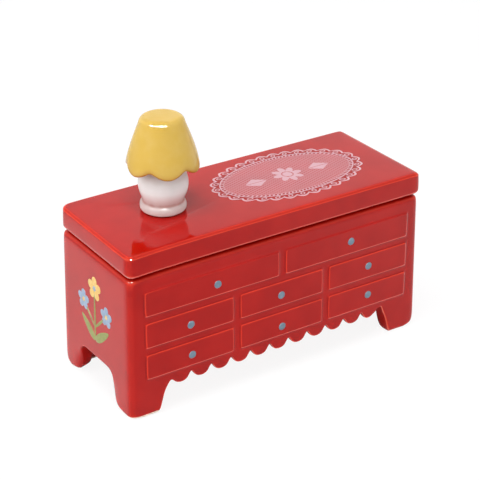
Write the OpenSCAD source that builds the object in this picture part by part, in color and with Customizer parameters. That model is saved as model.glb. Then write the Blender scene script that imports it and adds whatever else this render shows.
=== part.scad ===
// Trinket box in glazed earthenware, shaped like a low chest of drawers.
// The drawer fronts are only relief on the front wall. The lid lifts off
// with the small table lamp that stands on it.
// Millimetres. +X runs along the front, the drawer front faces -Y, +Z is up.
// The origin is the middle of the footprint, at the level of the feet.

/* [Body] */
// Length of the body at its rim
rim_w = 129.8; // [122:0.1:140]
// Depth of the body at its rim
rim_d = 50.6; // [46:0.1:60]
// Height of the rim that the lid rests on
rim_z = 58; // [56:0.5:70]
// How much further out the feet stand than the rim, at each end
flare_x = 1; // [0.2:0.1:2]
// How much further out the feet stand than the rim, front and back
flare_y = 0.6; // [0.2:0.1:1.5]
// Radius of the upright corners
corner_r = 2.8; // [2.6:0.1:6]
// Rounding of the outer edge of the rim
rim_round = 1.8; // [0.8:0.1:2.4]
// Rounding of the outer edge under the feet
foot_round = 1.6; // [0.8:0.1:2.4]
// Thickness of the walls at the rim
wall = 5; // [4:0.1:7]
// Thickness of the floor of the trinket space
floor_t = 4.5; // [3:0.1:6]
// Height of the underside of that floor
floor_z = 16.5; // [15:0.1:20]
// Corner radius of the trinket space
well_r = 3; // [1:0.1:5]

/* [Feet and apron] */
// Length of a foot along the front, on the ground
foot_len = 12.8; // [9:0.1:15]
// Length of a foot along the front, where it meets the apron
foot_top_len = 16.4; // [12:0.1:18]
// Height of the apron line between the feet, front and back
apron_z = 13; // [11:0.1:14.5]
// Spacing of the scallops along the front apron
scallop_pitch = 8.7; // [7:0.1:11]
// How far a scallop hangs below the apron line
scallop_drop = 2.9; // [1.5:0.1:3.5]
// Least gap between a foot and the scallop next to it
scallop_gap = 1.5; // [1:0.1:4]
// Width of the arch in each end
arch_w = 24.6; // [16:0.1:28]
// Height of the arch in each end
arch_z = 14.7; // [12:0.1:14.9]
// Corner radius at the top of the arch
arch_r = 3.6; // [2:0.1:7]
// How much the arch widens on each side at the ground
arch_splay = 3.4; // [0.5:0.1:4]
// Height at which that widening starts
arch_splay_z = 4; // [2:0.1:6]

/* [Mock drawers] */
// Length of the block of drawer fronts
drawers_w = 118.4; // [108:0.1:121]
// Height of the top edge of the block
drawers_top = 52; // [50:0.1:54]
// Height of one drawer front
drawer_h = 10.6; // [8:0.1:11]
// Gap between the rows
row_gap = 2.2; // [1:0.1:3]
// Gap between drawers in a row
column_gap = 2.4; // [1:0.1:4]
// Drawers in each row, from the top row down
row_counts = [2, 3, 3];
// How far a drawer front stands out of the wall
drawer_relief = 0.5; // [0.2:0.1:1]
// Corner radius of a drawer front
drawer_r = 1.2; // [0.5:0.1:3]
// Diameter of a knob dot
dot_d = 3.3; // [2:0.1:5]
// Thickness of the enamel of a knob dot
dot_t = 0.15; // [0.1:0.05:0.4]

/* [Lid] */
// How much the lid overhangs the rim on each side
lid_overhang = 0.4; // [0:0.1:1]
// Thickness of the lid at its edge
lid_t = 9.3; // [7:0.1:12]
// How much the lid draws in on each side from its top to its underside
lid_draft = 0.2; // [0.1:0.1:0.6]
// Radius of the lid's upright corners
lid_corner_r = 3; // [3:0.1:6]
// Rounding of the lid's top edge
lid_top_round = 1.6; // [1:0.1:2.8]
// Rounding of the lid's bottom edge
lid_under_round = 1.6; // [0.8:0.1:2.4]
// Depth of the hollow in the lid's underside
lid_hollow = 4.5; // [2:0.1:6]
// Depth of the locating flange below the lid
flange_h = 3.5; // [2:0.1:6]
// Thickness of the locating flange
flange_t = 2.6; // [1.5:0.1:4]
// Clearance between the flange and the trinket space, all round
flange_clear = 0.5; // [0.3:0.1:1]

/* [Lamp] */
// Place of the lamp along the lid
lamp_x = -34.6; // [-45:0.1:-30]
// Place of the lamp across the lid
lamp_y = 1.3; // [-8:0.1:8]
// Radius of the foot ring
lamp_foot_r = 8.7; // [7:0.1:11]
// Height of the foot ring
lamp_foot_h = 3.8; // [2:0.1:5]
// Largest radius of the barrel
barrel_r = 9.3; // [8:0.1:11]
// Height of the barrel's widest level above the lid
barrel_z = 10.8; // [8:0.1:12]
// Radius of the barrel's side curve
barrel_curve_r = 13; // [11:0.1:30]
// Height of the barrel's top above the lid
barrel_top = 17.5; // [15:0.1:18.5]
// Radius of the neck inside the shade
neck_r = 6; // [4:0.1:7]
// Height of the neck's top above the lid
neck_top = 25; // [23:0.1:28]

/* [Shade] */
// Number of lobes round the shade
shade_lobes = 6; // [5:1:8]
// Turn of the first lobe from +X, in degrees
shade_turn = 9; // [0:1:60]
// Radius of the hem at the middle of a lobe
hem_r = 13.7; // [12:0.1:16]
// Height of the lobes' lowest points above the lid
hem_z = 17.1; // [16:0.1:18]
// How much higher the hem is between the lobes
hem_wave = 2.4; // [1:0.1:3]
// Depth of the flutes between the lobes, at the hem
flute_depth = 0.6; // [0.4:0.1:1.6]
// Radius of the shade where its crown begins
crown_r = 8.5; // [7.5:0.1:10]
// Rounding of the crown
crown_round = 2.6; // [1.5:0.1:3.5]
// Height of the shade's top above the lid
shade_top = 36.6; // [33:0.1:42]
// Thickness of the shade's wall at the hem
hem_t = 2.4; // [2:0.1:3.5]
// Height of the ceiling of the hollow under the shade
shade_ceiling = 20.4; // [19.8:0.1:22]
// Clearance round the neck in the shade's socket
neck_clear = 0.1; // [0.05:0.05:0.2]

/* [Transfers] */
// Thickness of the printed transfers
transfer_t = 0.12; // [0.1:0.02:0.3]
// Place of the doily along the lid
doily_x = 20.7; // [15:0.1:24]
// Place of the doily across the lid
doily_y = 1.3; // [-2:0.1:2]
// Half length of the doily
doily_a = 32.2; // [24:0.1:34]
// Half width of the doily
doily_b = 19.1; // [14:0.1:20]
// Scallops round the doily
doily_scallops = 30; // [20:2:48]
// Depth of those scallops
doily_wave = 0.8; // [0.4:0.1:1.5]
// Height of the root of the flower spray
spray_z = 22; // [18:0.1:24]
// Height of the spray from its root to the middle of the top flower
spray_h = 21.5; // [18:0.1:23]
// How far the two side flowers stand from the stalk
spray_reach = 8.5; // [7.5:0.1:10]
// How much lower the side flowers sit than the top one
spray_step = 8; // [6:0.1:10]
// Radius of the top flower
top_flower_r = 4.8; // [3:0.1:5.5]
// Radius of a side flower
side_flower_r = 4.2; // [3:0.1:5]
// Width of the stalks
stalk_w = 1; // [0.4:0.1:1.2]
// Length of a leaf
leaf_len = 12; // [6:0.1:13]
// Width of a leaf
leaf_w = 4.4; // [2:0.1:5]
// Angle of a leaf above the level
leaf_rise = 36; // [20:1:60]

/* [Hidden] */

$fn = 64;
// Segments of a rounded corner that is hulled
hull_fn = 32;
// How far a cutting solid runs past the face that it cuts
cut_past = 1;

foot_w = rim_w + 2 * flare_x;
foot_d = rim_d + 2 * flare_y;
inner_w = rim_w - 2 * wall;
inner_d = rim_d - 2 * wall;
lid_w = rim_w + 2 * lid_overhang;
lid_d = rim_d + 2 * lid_overhang;
lid_top = rim_z + lid_t;
flange_w = inner_w - 2 * flange_clear;
flange_d = inner_d - 2 * flange_clear;
flange_r = well_r - flange_clear;
well_z = floor_z + floor_t;

// The walls lean in from the widest level of the feet to that of the rim
lean_height = rim_z - rim_round - foot_round;
lean_x = atan(flare_x / lean_height);
lean_y = atan(flare_y / lean_height);

// Scallops that fit between the feet, and the circle each one is cut by
apron_span = foot_w - 2 * foot_top_len;
scallop_count = floor((apron_span - 2 * scallop_gap) / scallop_pitch);
scallop_lap = 0.2;
scallop_chord = scallop_pitch + scallop_lap;
scallop_r = (scallop_chord * scallop_chord / 4 + scallop_drop * scallop_drop) / (2 * scallop_drop);

// Rectangle with rounded corners, centred on the origin
module rounded_rect(w, d, r) {
    square([w - 2 * r, d], center = true);
    square([w, d - 2 * r], center = true);
    for (x = [-1, 1], y = [-1, 1])
        translate([x * (w / 2 - r), y * (d / 2 - r)]) circle(r);
}

// Round bar along the edge of a corner of radius r, with its middle at z = 0
module edge_ring(r, edge) {
    rotate_extrude($fn = hull_fn) intersection() {
        translate([r - edge, 0]) circle(edge, $fn = hull_fn);
        translate([0, -edge]) square([r, 2 * edge]);
    }
}

// Edge rings at the four corners of a rectangle that is w by d outside
module edge_rings(w, d, r, edge) {
    for (x = [-1, 1], y = [-1, 1])
        translate([x * (w / 2 - r), y * (d / 2 - r), 0]) edge_ring(r, edge);
}

// Flat drawing on the front wall: x along the wall, y up it, z out of it
module on_front() {
    translate([0, -foot_d / 2, foot_round]) rotate([-lean_y, 0, 0])
        translate([0, 0, -foot_round]) rotate([90, 0, 0]) children();
}

// Flat drawing on the left end wall: x towards the front, y up, z out
module on_left_end() {
    translate([-foot_w / 2, 0, foot_round]) rotate([0, lean_x, 0])
        translate([0, 0, -foot_round]) rotate([90, 0, -90]) children();
}

// Each drawer front's middle, with its width, from the top row down
drawer_list = [for (row = [0 : len(row_counts) - 1]) let (n = row_counts[row],
    w = (drawers_w - (n - 1) * column_gap) / n) for (i = [0 : n - 1])
    [-drawers_w / 2 + w / 2 + i * (w + column_gap),
     drawers_top - drawer_h / 2 - row * (drawer_h + row_gap), w]];

module drawer_fronts() {
    on_front() for (drawer = drawer_list)
        translate([drawer[0], drawer[1], -cut_past])
            linear_extrude(cut_past + drawer_relief) rounded_rect(drawer[2], drawer_h, drawer_r);
}

// Gap between the feet under a long wall, seen from the front
module foot_gap() {
    bottom = foot_w / 2 - foot_len;
    polygon([[-bottom, -cut_past], [-bottom, 0], [-apron_span / 2, apron_z],
        [apron_span / 2, apron_z], [bottom, 0], [bottom, -cut_past]]);
}

// Scallops that hang down into that gap
module scallops() {
    for (i = [0 : scallop_count - 1])
        translate([(i - (scallop_count - 1) / 2) * scallop_pitch, apron_z - scallop_drop + scallop_r])
            circle(scallop_r);
}

// Arch in an end wall, seen from the end
module end_arch() {
    half = arch_w / 2;
    translate([-half, -cut_past]) square([arch_w, cut_past + arch_z - arch_r]);
    translate([arch_r - half, 0]) square([arch_w - 2 * arch_r, arch_z]);
    for (x = [-1, 1]) translate([x * (half - arch_r), arch_z - arch_r]) circle(arch_r);
    polygon([[-half - arch_splay, -cut_past], [-half - arch_splay, 0], [-half, arch_splay_z],
        [half, arch_splay_z], [half + arch_splay, 0], [half + arch_splay, -cut_past]]);
}

// Box casting: leaning walls on four feet, with the trinket space open at the top
module box_body() {
    color("firebrick") {
        difference() {
            hull() {
                translate([0, 0, foot_round]) edge_rings(foot_w, foot_d, corner_r, foot_round);
                translate([0, 0, rim_z - rim_round]) edge_rings(rim_w, rim_d, corner_r, rim_round);
            }
            translate([0, 0, well_z])
                linear_extrude(rim_z - well_z + cut_past) rounded_rect(inner_w, inner_d, well_r);
            translate([-inner_w / 2, -inner_d / 2, -cut_past]) cube([inner_w, inner_d, floor_z + cut_past]);
            // Front gap with its scallops, and the plain gap at the back
            translate([0, -inner_d / 2, 0]) rotate([90, 0, 0]) linear_extrude(foot_d)
                difference() {
                    foot_gap();
                    scallops();
                }
            translate([0, inner_d / 2 + foot_d, 0]) rotate([90, 0, 0]) linear_extrude(foot_d) foot_gap();
            translate([-foot_w / 2 - cut_past, 0, 0]) rotate([90, 0, 90])
                linear_extrude(foot_w + 2 * cut_past) end_arch();
        }
        drawer_fronts();
    }
}

// Knob dots of enamel on the drawer fronts
module drawer_dots() {
    color("slategray") on_front() for (drawer = drawer_list)
        translate([drawer[0], drawer[1], drawer_relief]) cylinder(h = dot_t, d = dot_d);
}

// Lid casting: a rounded slab, hollow below, with a flange that drops into the box
module lid() {
    color("indianred") difference() {
        union() {
            hull() {
                translate([0, 0, rim_z + lid_under_round])
                    edge_rings(lid_w - 2 * lid_draft, lid_d - 2 * lid_draft, lid_corner_r, lid_under_round);
                translate([0, 0, lid_top - lid_top_round])
                    edge_rings(lid_w, lid_d, lid_corner_r, lid_top_round);
            }
            translate([0, 0, rim_z - flange_h])
                linear_extrude(flange_h + cut_past) rounded_rect(flange_w, flange_d, flange_r);
        }
        translate([0, 0, rim_z - flange_h - cut_past])
            linear_extrude(flange_h + lid_hollow + cut_past)
                rounded_rect(flange_w - 2 * flange_t, flange_d - 2 * flange_t, flange_r);
    }
}

// Place of the lamp on the lid
module at_lamp() {
    translate([lamp_x, lamp_y, lid_top]) children();
}

// Lamp base: bead foot ring, bulging barrel and the neck that carries the shade
module lamp_base() {
    bead = lamp_foot_h / 2;
    color("linen") at_lamp() {
        rotate_extrude() {
            square([lamp_foot_r - bead, lamp_foot_h]);
            intersection() {
                translate([lamp_foot_r - bead, bead]) circle(bead);
                square([lamp_foot_r, lamp_foot_h]);
            }
            intersection() {
                translate([barrel_r - barrel_curve_r, barrel_z]) circle(barrel_curve_r);
                translate([0, lamp_foot_h - bead]) square([barrel_r, barrel_top - lamp_foot_h + bead]);
            }
            square([neck_r, neck_top]);
        }
    }
}

// Round the shade, 1 in the middle of a lobe and 0 in the valley between two
lobe_soft = 0.12;
function lobe(angle) = let (c = cos(shade_lobes / 2 * (angle - shade_turn)))
    (sqrt(c * c + lobe_soft * lobe_soft) - lobe_soft) / (sqrt(1 + lobe_soft * lobe_soft) - lobe_soft);

// Side of the shade at a share of its height from hem (0) to crown (1)
shoulder_z = shade_top - crown_round;
side_swell = 1.25;
function side_r(angle, share) = hem_r + (crown_r - hem_r) * pow(share, side_swell)
    - flute_depth * (1 - share) * (1 - lobe(angle));
function side_z(angle, share) = let (hem = hem_z + hem_wave * (1 - lobe(angle)))
    hem + (shoulder_z - hem) * share;
function inner_r(angle) = side_r(angle, 0) - hem_t;

// Rings of points from the ceiling of the hollow, round the hem, to the crown
shade_steps = 72;
side_steps = 12;
crown_steps = 5;
// Share of the side, and of the hem's thickness, that the rounding of the hem takes
hem_lip = 0.04;
inner_lip = 0.25;
shade_angles = [for (i = [0 : shade_steps - 1]) i * 360 / shade_steps];
shade_rings = concat(
    [[for (a = shade_angles) [inner_r(a), a, shade_ceiling]]],
    [[for (a = shade_angles) [inner_r(a), a, side_z(a, 0) + hem_t * inner_lip]]],
    [[for (a = shade_angles) [side_r(a, 0) - hem_t / 2, a, side_z(a, 0)]]],
    [for (k = [0 : side_steps]) let (share = max(hem_lip, k / side_steps))
        [for (a = shade_angles) [side_r(a, share), a, side_z(a, share)]]],
    [for (k = [1 : crown_steps]) let (turn = 90 * k / crown_steps)
        [for (a = shade_angles) [crown_r - crown_round * (1 - cos(turn)), a,
            shoulder_z + crown_round * sin(turn)]]]);

// Lamp shade: fluted side, wavy hem, rounded crown and a blind socket for the neck
module lamp_shade() {
    n = shade_steps;
    last = len(shade_rings) - 1;
    points = [for (ring = shade_rings) for (p = ring) [p[0] * cos(p[1]), p[0] * sin(p[1]), p[2]]];
    low = len(points);
    faces = concat(
        [for (k = [0 : last - 1]) for (i = [0 : n - 1]) let (j = (i + 1) % n)
            [k * n + i, (k + 1) * n + i, k * n + j]],
        [for (k = [0 : last - 1]) for (i = [0 : n - 1]) let (j = (i + 1) % n)
            [k * n + j, (k + 1) * n + i, (k + 1) * n + j]],
        [for (i = [0 : n - 1]) [low, i, (i + 1) % n]],
        [for (i = [0 : n - 1]) [low + 1, last * n + (i + 1) % n, last * n + i]]);
    color("khaki") at_lamp() difference() {
        polyhedron(concat(points, [[0, 0, shade_ceiling], [0, 0, shade_top]]), faces);
        translate([0, 0, shade_ceiling - cut_past])
            cylinder(h = neck_top - shade_ceiling + cut_past, r = neck_r + neck_clear);
    }
}

// Oval doily with a scalloped edge, printed on the lid
doily_steps = 6 * doily_scallops;
module doily_transfer() {
    outline = [for (i = [0 : doily_steps - 1]) let (a = i * 360 / doily_steps,
        wave = doily_wave * abs(cos(a * doily_scallops / 2)))
        [(doily_a + wave) * cos(a), (doily_b + wave) * sin(a)]];
    color("pink") translate([doily_x, doily_y, lid_top]) linear_extrude(transfer_t) polygon(outline);
}

// Flower of five round petals, drawn flat
petals = 5;
petal_share = 0.42;
module flower(r) {
    circle(r / 2);
    for (k = [1 : petals]) rotate(90 + k * 360 / petals)
        translate([r * (1 - petal_share), 0]) circle(r * petal_share);
}

// Leaf between two arcs, drawn flat from its stalk along +X
module leaf() {
    bow = (leaf_len * leaf_len + leaf_w * leaf_w) / (4 * leaf_w);
    intersection() {
        translate([leaf_len / 2, leaf_w / 2 - bow]) circle(bow);
        translate([leaf_len / 2, bow - leaf_w / 2]) circle(bow);
    }
}

// Straight stalk from one point of the drawing to another
module stalk(from, to) {
    run = to - from;
    translate(from) rotate(atan2(run[1], run[0])) translate([0, -stalk_w / 2])
        square([norm(run), stalk_w]);
}

// Spray of one top flower and two side flowers, with a pair of leaves at the root
module flower_transfer() {
    root = [0, 0];
    top = [0, spray_h];
    fork = [0, spray_h - 2 * spray_step];
    color("burlywood") on_left_end() translate([0, spray_z, 0]) linear_extrude(transfer_t) {
        translate(top) flower(top_flower_r);
        stalk(root, top);
        for (side = [-1, 1]) {
            bloom = [side * spray_reach, spray_h - spray_step];
            translate(bloom) flower(side_flower_r);
            stalk(fork, bloom);
        }
        for (turn = [leaf_rise, 180 - leaf_rise]) rotate(turn) leaf();
    }
}

box_body();
lid();
lamp_base();
lamp_shade();
drawer_dots();
doily_transfer();
flower_transfer();
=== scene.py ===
# %% [markdown]
# A trinket box in red glazed earthenware, shaped like a low chest of drawers, with a small ceramic
# table lamp standing on its lid. It is slip cast: liquid clay set in a plaster mould, fired and
# glazed. That is why every edge is soft, why the drawers are only relief, and why the colour is a
# layer of glass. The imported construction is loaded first, as the fixed frame that every piece is
# modelled around. Sizes are in millimetres, and lengths closer than NEAR count as equal.

# %% The frame
import math

import bmesh
import bpy
from mathutils import Matrix, Vector, noise


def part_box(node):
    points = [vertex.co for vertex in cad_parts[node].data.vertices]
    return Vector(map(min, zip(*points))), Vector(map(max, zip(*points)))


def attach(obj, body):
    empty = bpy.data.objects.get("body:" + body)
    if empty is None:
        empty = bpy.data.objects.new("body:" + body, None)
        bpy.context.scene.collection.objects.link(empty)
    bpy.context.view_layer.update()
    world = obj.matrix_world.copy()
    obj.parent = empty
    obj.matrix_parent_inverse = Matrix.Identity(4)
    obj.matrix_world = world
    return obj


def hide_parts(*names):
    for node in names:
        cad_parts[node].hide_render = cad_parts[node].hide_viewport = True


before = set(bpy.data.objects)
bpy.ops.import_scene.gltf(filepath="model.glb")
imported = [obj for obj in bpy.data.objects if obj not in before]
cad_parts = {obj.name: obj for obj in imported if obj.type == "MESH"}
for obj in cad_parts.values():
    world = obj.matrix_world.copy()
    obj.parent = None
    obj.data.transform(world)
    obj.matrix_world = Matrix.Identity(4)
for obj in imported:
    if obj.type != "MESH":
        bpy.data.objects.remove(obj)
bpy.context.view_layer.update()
MM = 0.001
NEAR = 0.01


def box_mm(node):
    """Lowest and highest corner of a piece of the construction, in millimetres."""
    low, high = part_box(node)
    return low / MM, high / MM


print("frame pieces:", sorted(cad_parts))

# %% [markdown]
# The camera stands where the photo was taken: a little to the left of the front, above the lid,
# with a long lens, so that upright lines stay almost parallel. The angles were found by matching
# the corners of the box. Building the rotation from three directions keeps the small roll easy to
# see.

# %% The camera
camera_azimuth = math.radians(-33.58)
camera_elevation = math.radians(26.85)
camera_roll = math.radians(0.22)
camera_distance = 588.85
camera_aim = Vector((0, 0, 45))
camera_nudge_right = 1.55
camera_nudge_up = -0.25
camera_lens = 115.43
camera_sensor = 36
nearest_seen = 10


def add_object(name, data):
    """A new object at the origin of the scene."""
    made = bpy.data.objects.new(name, data)
    bpy.context.scene.collection.objects.link(made)
    return made


level_right = Vector((math.cos(camera_azimuth), math.sin(camera_azimuth), 0))
towards_camera = Vector((
    math.sin(camera_azimuth) * math.cos(camera_elevation),
    -math.cos(camera_azimuth) * math.cos(camera_elevation),
    math.sin(camera_elevation),
))
level_up = towards_camera.cross(level_right)
camera_right = math.cos(camera_roll) * level_right + math.sin(camera_roll) * level_up
camera_up = math.cos(camera_roll) * level_up - math.sin(camera_roll) * level_right
camera_place = (camera_aim + camera_distance * towards_camera
                - camera_nudge_right * camera_right - camera_nudge_up * camera_up)

camera = add_object("camera", bpy.data.cameras.new("camera"))
camera.matrix_world = (Matrix.Translation(camera_place * MM)
                       @ Matrix((camera_right, camera_up, towards_camera)).transposed().to_4x4())
camera.data.lens = camera_lens
camera.data.sensor_width = camera_sensor
camera.data.clip_start = nearest_seen * MM
bpy.context.scene.camera = camera
print("camera at", [round(c, 1) for c in camera_place], "mm")

# %% [markdown]
# Shader maths reads best as plain sums. This class holds one output of a node, and the signs + - *
# / on it add Math nodes, so 1 - mask is written just so. Every other node comes from its node
# method.

# %% Wires between shader nodes
class Wire:
    """One output of a shader node. Sums on it add Math nodes."""

    def __init__(self, socket):
        self.socket = socket

    def node(self, kind, settings=None, sockets=None, output=0):
        """Adds a node of any kind: its settings first, then the values or links of its sockets."""
        made = self.socket.id_data.nodes.new(kind)
        for name, value in (settings or {}).items():
            setattr(made, name, value)
        feed(made, sockets or {})
        return Wire(made.outputs[output])

    def out(self, name):
        """Another output of the same node."""
        return Wire(self.socket.node.outputs[name])

    def math(self, operation, *others):
        return self.node("ShaderNodeMath", {"operation": operation}, dict(enumerate((self, *others))))

    def __add__(self, other):
        return self.math("ADD", other)

    __radd__ = __add__

    def __sub__(self, other):
        return self.math("SUBTRACT", other)

    def __rsub__(self, other):
        return self.node("ShaderNodeMath", {"operation": "SUBTRACT"}, {0: other, 1: self})

    def __mul__(self, other):
        return self.math("MULTIPLY", other)

    __rmul__ = __mul__

    def __truediv__(self, other):
        return self.math("DIVIDE", other)

    def fade(self, low, high):
        """0 below low and 1 above high, softly between. It falls if low is the larger."""
        span = (low, high, 0.0, 1.0) if low < high else (high, low, 1.0, 0.0)
        return self.node("ShaderNodeMapRange", {"interpolation_type": "SMOOTHSTEP"},
                         dict(enumerate((self, *span))))

    def tint(self, colour_at_0, colour_at_1):
        """Mixes two colours by this value."""
        return self.node("ShaderNodeMix", {"data_type": "RGBA"},
                         {0: self, 6: colour_at_0, 7: colour_at_1}, output=2)


def feed(node, sockets):
    """Sets the sockets of a node to values, or links them to wires."""
    for key, value in sockets.items():
        if isinstance(value, Wire):
            node.id_data.links.new(value.socket, node.inputs[key])
        else:
            node.inputs[key].default_value = value


print("wires ready")

# %% [markdown]
# Every finish on this piece is glass or enamel with some cloudiness in it, so the same few parts
# come back: a colour laid over a ground colour in layers, a cloudy mottle, and a faintly uneven
# surface that bends reflections. Real potters build a glaze up in coats too, and so does layered.

# %% Parts that every finish uses
glass_ior = 1.25


def paint(red, green, blue):
    """A colour as a paint chart gives it, 0 to 255, turned into the linear colour of shaders."""
    def linear(level):
        share = level / 255
        return share / 12.92 if share <= 0.04045 else ((share + 0.055) / 1.055) ** 2.4
    return (linear(red), linear(green), linear(blue), 1.0)


def new_finish(name):
    """A material, and a wire with the place on the piece in metres."""
    material = bpy.data.materials.new(name)
    material.use_nodes = True
    return material, Wire(material.node_tree.nodes.new("ShaderNodeTexCoord").outputs["Object"])


def coat(material, colour, roughness, surface, ior=glass_ior):
    """Gives a material its colour, its roughness, its surface and how much it mirrors."""
    feed(material.node_tree.nodes["Principled BSDF"],
         {"Base Color": colour, "Roughness": roughness, "IOR": ior, "Normal": surface})
    return material


def axes(places):
    """The three parts of a place or a direction, each as a wire."""
    parts = places.node("ShaderNodeSeparateXYZ", None, {0: places})
    return parts.out("X"), parts.out("Y"), parts.out("Z")


def mottle(places, size_mm, detail=2.0):
    """Cloudy noise whose patches are about so many millimetres across, from 0 to 1."""
    return places.node("ShaderNodeTexNoise", None,
                       {"Vector": places, "Scale": 1 / (size_mm * MM), "Detail": detail})


def kept_value(places, name):
    """A number that the modelling keeps at each point of a piece."""
    return places.node("ShaderNodeAttribute", {"attribute_name": name}).out("Fac")


def ripples(places, height, strength, depth_mm):
    """A faintly uneven surface, for the Normal of a shader."""
    return places.node("ShaderNodeBump", None,
                       {"Strength": strength, "Distance": depth_mm * MM, "Height": height})


def layered(colour, layers):
    """Lays colours over a ground, from the first to the last, each with a mask and a strength."""
    for mask, strength, tone in layers:
        colour = (mask * strength).tint(colour, tone)
    return colour


print("finish helpers ready")

# %% [markdown]
# Red glaze is coloured glass over pale clay. Where the body bulges the glaze runs thin and turns
# orange, and in the hollows it gathers and darkens, which also serves as painted shade in the
# grooves. The modelling step below keeps a number called thin_glaze at each point for that, and
# a number along the lower lip of the lid's left end for a pale painted reflection of the table.
# Edges that face down get a pale painted reflection as well. The coat is thicker in a band under
# the rim and in the arches of the ends. The feet stand on a rim wiped clean of glaze before
# firing, wider at the left, which shows as bare cream clay. The surface is glassy and a little
# wavy.

# %% The red glaze
red_deep = paint(172, 15, 9)
red_middle = paint(182, 20, 13)
red_thin = paint(232, 62, 36)
red_bare = paint(244, 158, 128)
red_pooled_and_shade = paint(138, 8, 9)
red_lip_reflection = paint(248, 190, 172)
red_painted_reflection = paint(228, 150, 140)
bare_clay = paint(240, 226, 210)
clay_grain = paint(222, 198, 176)
bare_left = 1.6
bare_right = 0.7
bare_change = 20
bare_ragged = 0.5
band_low = 51.2
band_high = 53.2
band_soft = 0.4
arch_coat_z = (17, 13)
arch_coat_y = (23, 20)


def red_glaze_layers(places):
    """Colour, roughness and surface of the red glaze, as wires that other finishes can add to."""
    clouds = mottle(places, 14)
    specks = mottle(places, 0.9, 4.0).fade(0.66, 0.74)
    _, y, z = axes(places)
    height = z / MM
    under_rim = (height.fade(band_low - band_soft, band_low + band_soft)
                 * height.fade(band_high + band_soft, band_high - band_soft))
    in_arch = height.fade(*arch_coat_z) * (y.math("ABSOLUTE") / MM).fade(*arch_coat_y)
    thin = kept_value(places, "thin_glaze") * ((1 - under_rim * 0.7) * (1 - in_arch * 0.75))
    on_edge = thin.fade(0.06, 0.25)
    _, _, facing_up = axes(places.node("ShaderNodeNewGeometry").out("Normal"))
    colour = layered(clouds.fade(0.3, 0.7).tint(red_deep, red_middle), (
        (specks, 0.25, red_pooled_and_shade),
        (on_edge, 0.72, red_thin),
        (thin.fade(0.3, 0.9), 0.6, red_bare),
        # Edges that face down: a pale painted reflection of the white table.
        (facing_up.fade(-0.1, -0.4) * on_edge, 0.3, red_painted_reflection),
        # The lower lip of the lid's left end: a pale painted reflection of the table.
        (kept_value(places, "lip_reflection"), 0.8, red_lip_reflection),
        # Hollows: darker pooled glaze, and painted shade in the grooves between the drawers.
        (thin.fade(-0.05, -0.3), 0.7, red_pooled_and_shade),
    ))
    surface = ripples(places, mottle(places, 9, 1.0) + specks * 0.02, 0.35, 0.06)
    return colour, 0.03 + clouds * 0.05, surface


def make_red_glaze():
    material, places = new_finish("red_glaze_finish")
    colour, roughness, surface = red_glaze_layers(places)
    x, _, z = axes(places)
    ragged = mottle(places, 1.6, 3.0) * bare_ragged
    leftward = (x / MM).fade(bare_change, -bare_change)
    wiped = leftward * (bare_left - bare_right) + bare_right
    bare = (z / MM + ragged - wiped).fade(0.25, 0.0)
    clay = mottle(places, 0.5, 4.0).tint(bare_clay, clay_grain)
    return coat(material, bare.tint(colour, clay), roughness + bare * 0.7, surface)


red_glaze = make_red_glaze()
print("made", red_glaze.name)

# %% [markdown]
# The lamp is glazed white and yellow. These glazes are thicker and milky, so they are a little
# softer than the red. They darken in the creases, from pooled glaze and painted shade, and the
# yellow turns to ochre where it gathers at the hem. A kept number darkens them more: painted shade
# on the white foot ring, pooled glaze and painted shade at the waist, a painted shadow on the
# barrel under the hem, and pooled glaze with painted shade on the hem and inside the shade.

# %% The white and yellow glazes
def make_pale_glaze(name, middle, thin_colour, pooled_and_shade_colour, wave_size, dullness, ior):
    material, places = new_finish(name)
    clouds = mottle(places, 6)
    thin = kept_value(places, "thin_glaze")
    colour = layered(middle, (
        (clouds.fade(0.35, 0.75), 0.35, thin_colour),
        (thin.fade(0.1, 0.4), 0.5, thin_colour),
        # Creases and the kept darkening: pooled glaze and painted shade.
        (thin.fade(-0.02, -0.2), 0.8, pooled_and_shade_colour),
        (kept_value(places, "pooled_and_shaded_glaze"), 0.85, pooled_and_shade_colour),
    ))
    surface = ripples(places, mottle(places, wave_size, 1.0), 0.4, 0.08)
    return coat(material, colour, dullness + clouds * 0.06, surface, ior)


white_glaze = make_pale_glaze("white_glaze_finish", paint(240, 246, 245), paint(246, 249, 248),
                              paint(184, 142, 135), wave_size=4, dullness=0.2, ior=1.12)
yellow_glaze = make_pale_glaze("yellow_glaze_finish", paint(209, 172, 78), paint(216, 187, 112),
                               paint(176, 112, 28), wave_size=5, dullness=0.05, ior=glass_ior)
print("made", white_glaze.name, "and", yellow_glaze.name)

# %% [markdown]
# One helper turns a bmesh into a finished piece. A subdivision surface softens the mesh first, and
# only then store_thin_glaze looks at each point's neighbours: if they lie below it, the point is on
# a bulge. On the fine mesh that gives narrow lines along the edges, as on the real glaze. At the
# end the mesh is scaled to metres, with its place in its points, at the origin.

# %% From bmesh to finished piece
shortest_squared = 0.01


def store_thin_glaze(bm):
    """Keeps how tightly the skin bends at each point: above 0 on edges, below 0 in hollows."""
    thin = bm.verts.layers.float.new("thin_glaze")
    bm.normal_update()
    for vert in bm.verts:
        bends = []
        for edge in vert.link_edges:
            step = vert.co - edge.other_vert(vert).co
            bends.append(step.dot(vert.normal) / max(step.length_squared, shortest_squared))
        vert[thin] = sum(bends) / len(bends)


def soften_skin(bm, piece, subdivisions):
    """Replaces the bmesh by the piece's mesh under a subdivision surface."""
    smoother = piece.modifiers.new("soft_skin", "SUBSURF")
    smoother.levels = smoother.render_levels = subdivisions
    softened = piece.evaluated_get(bpy.context.evaluated_depsgraph_get())
    bm.clear()
    bm.from_mesh(softened.to_mesh())
    softened.to_mesh_clear()
    piece.modifiers.remove(smoother)


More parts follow.
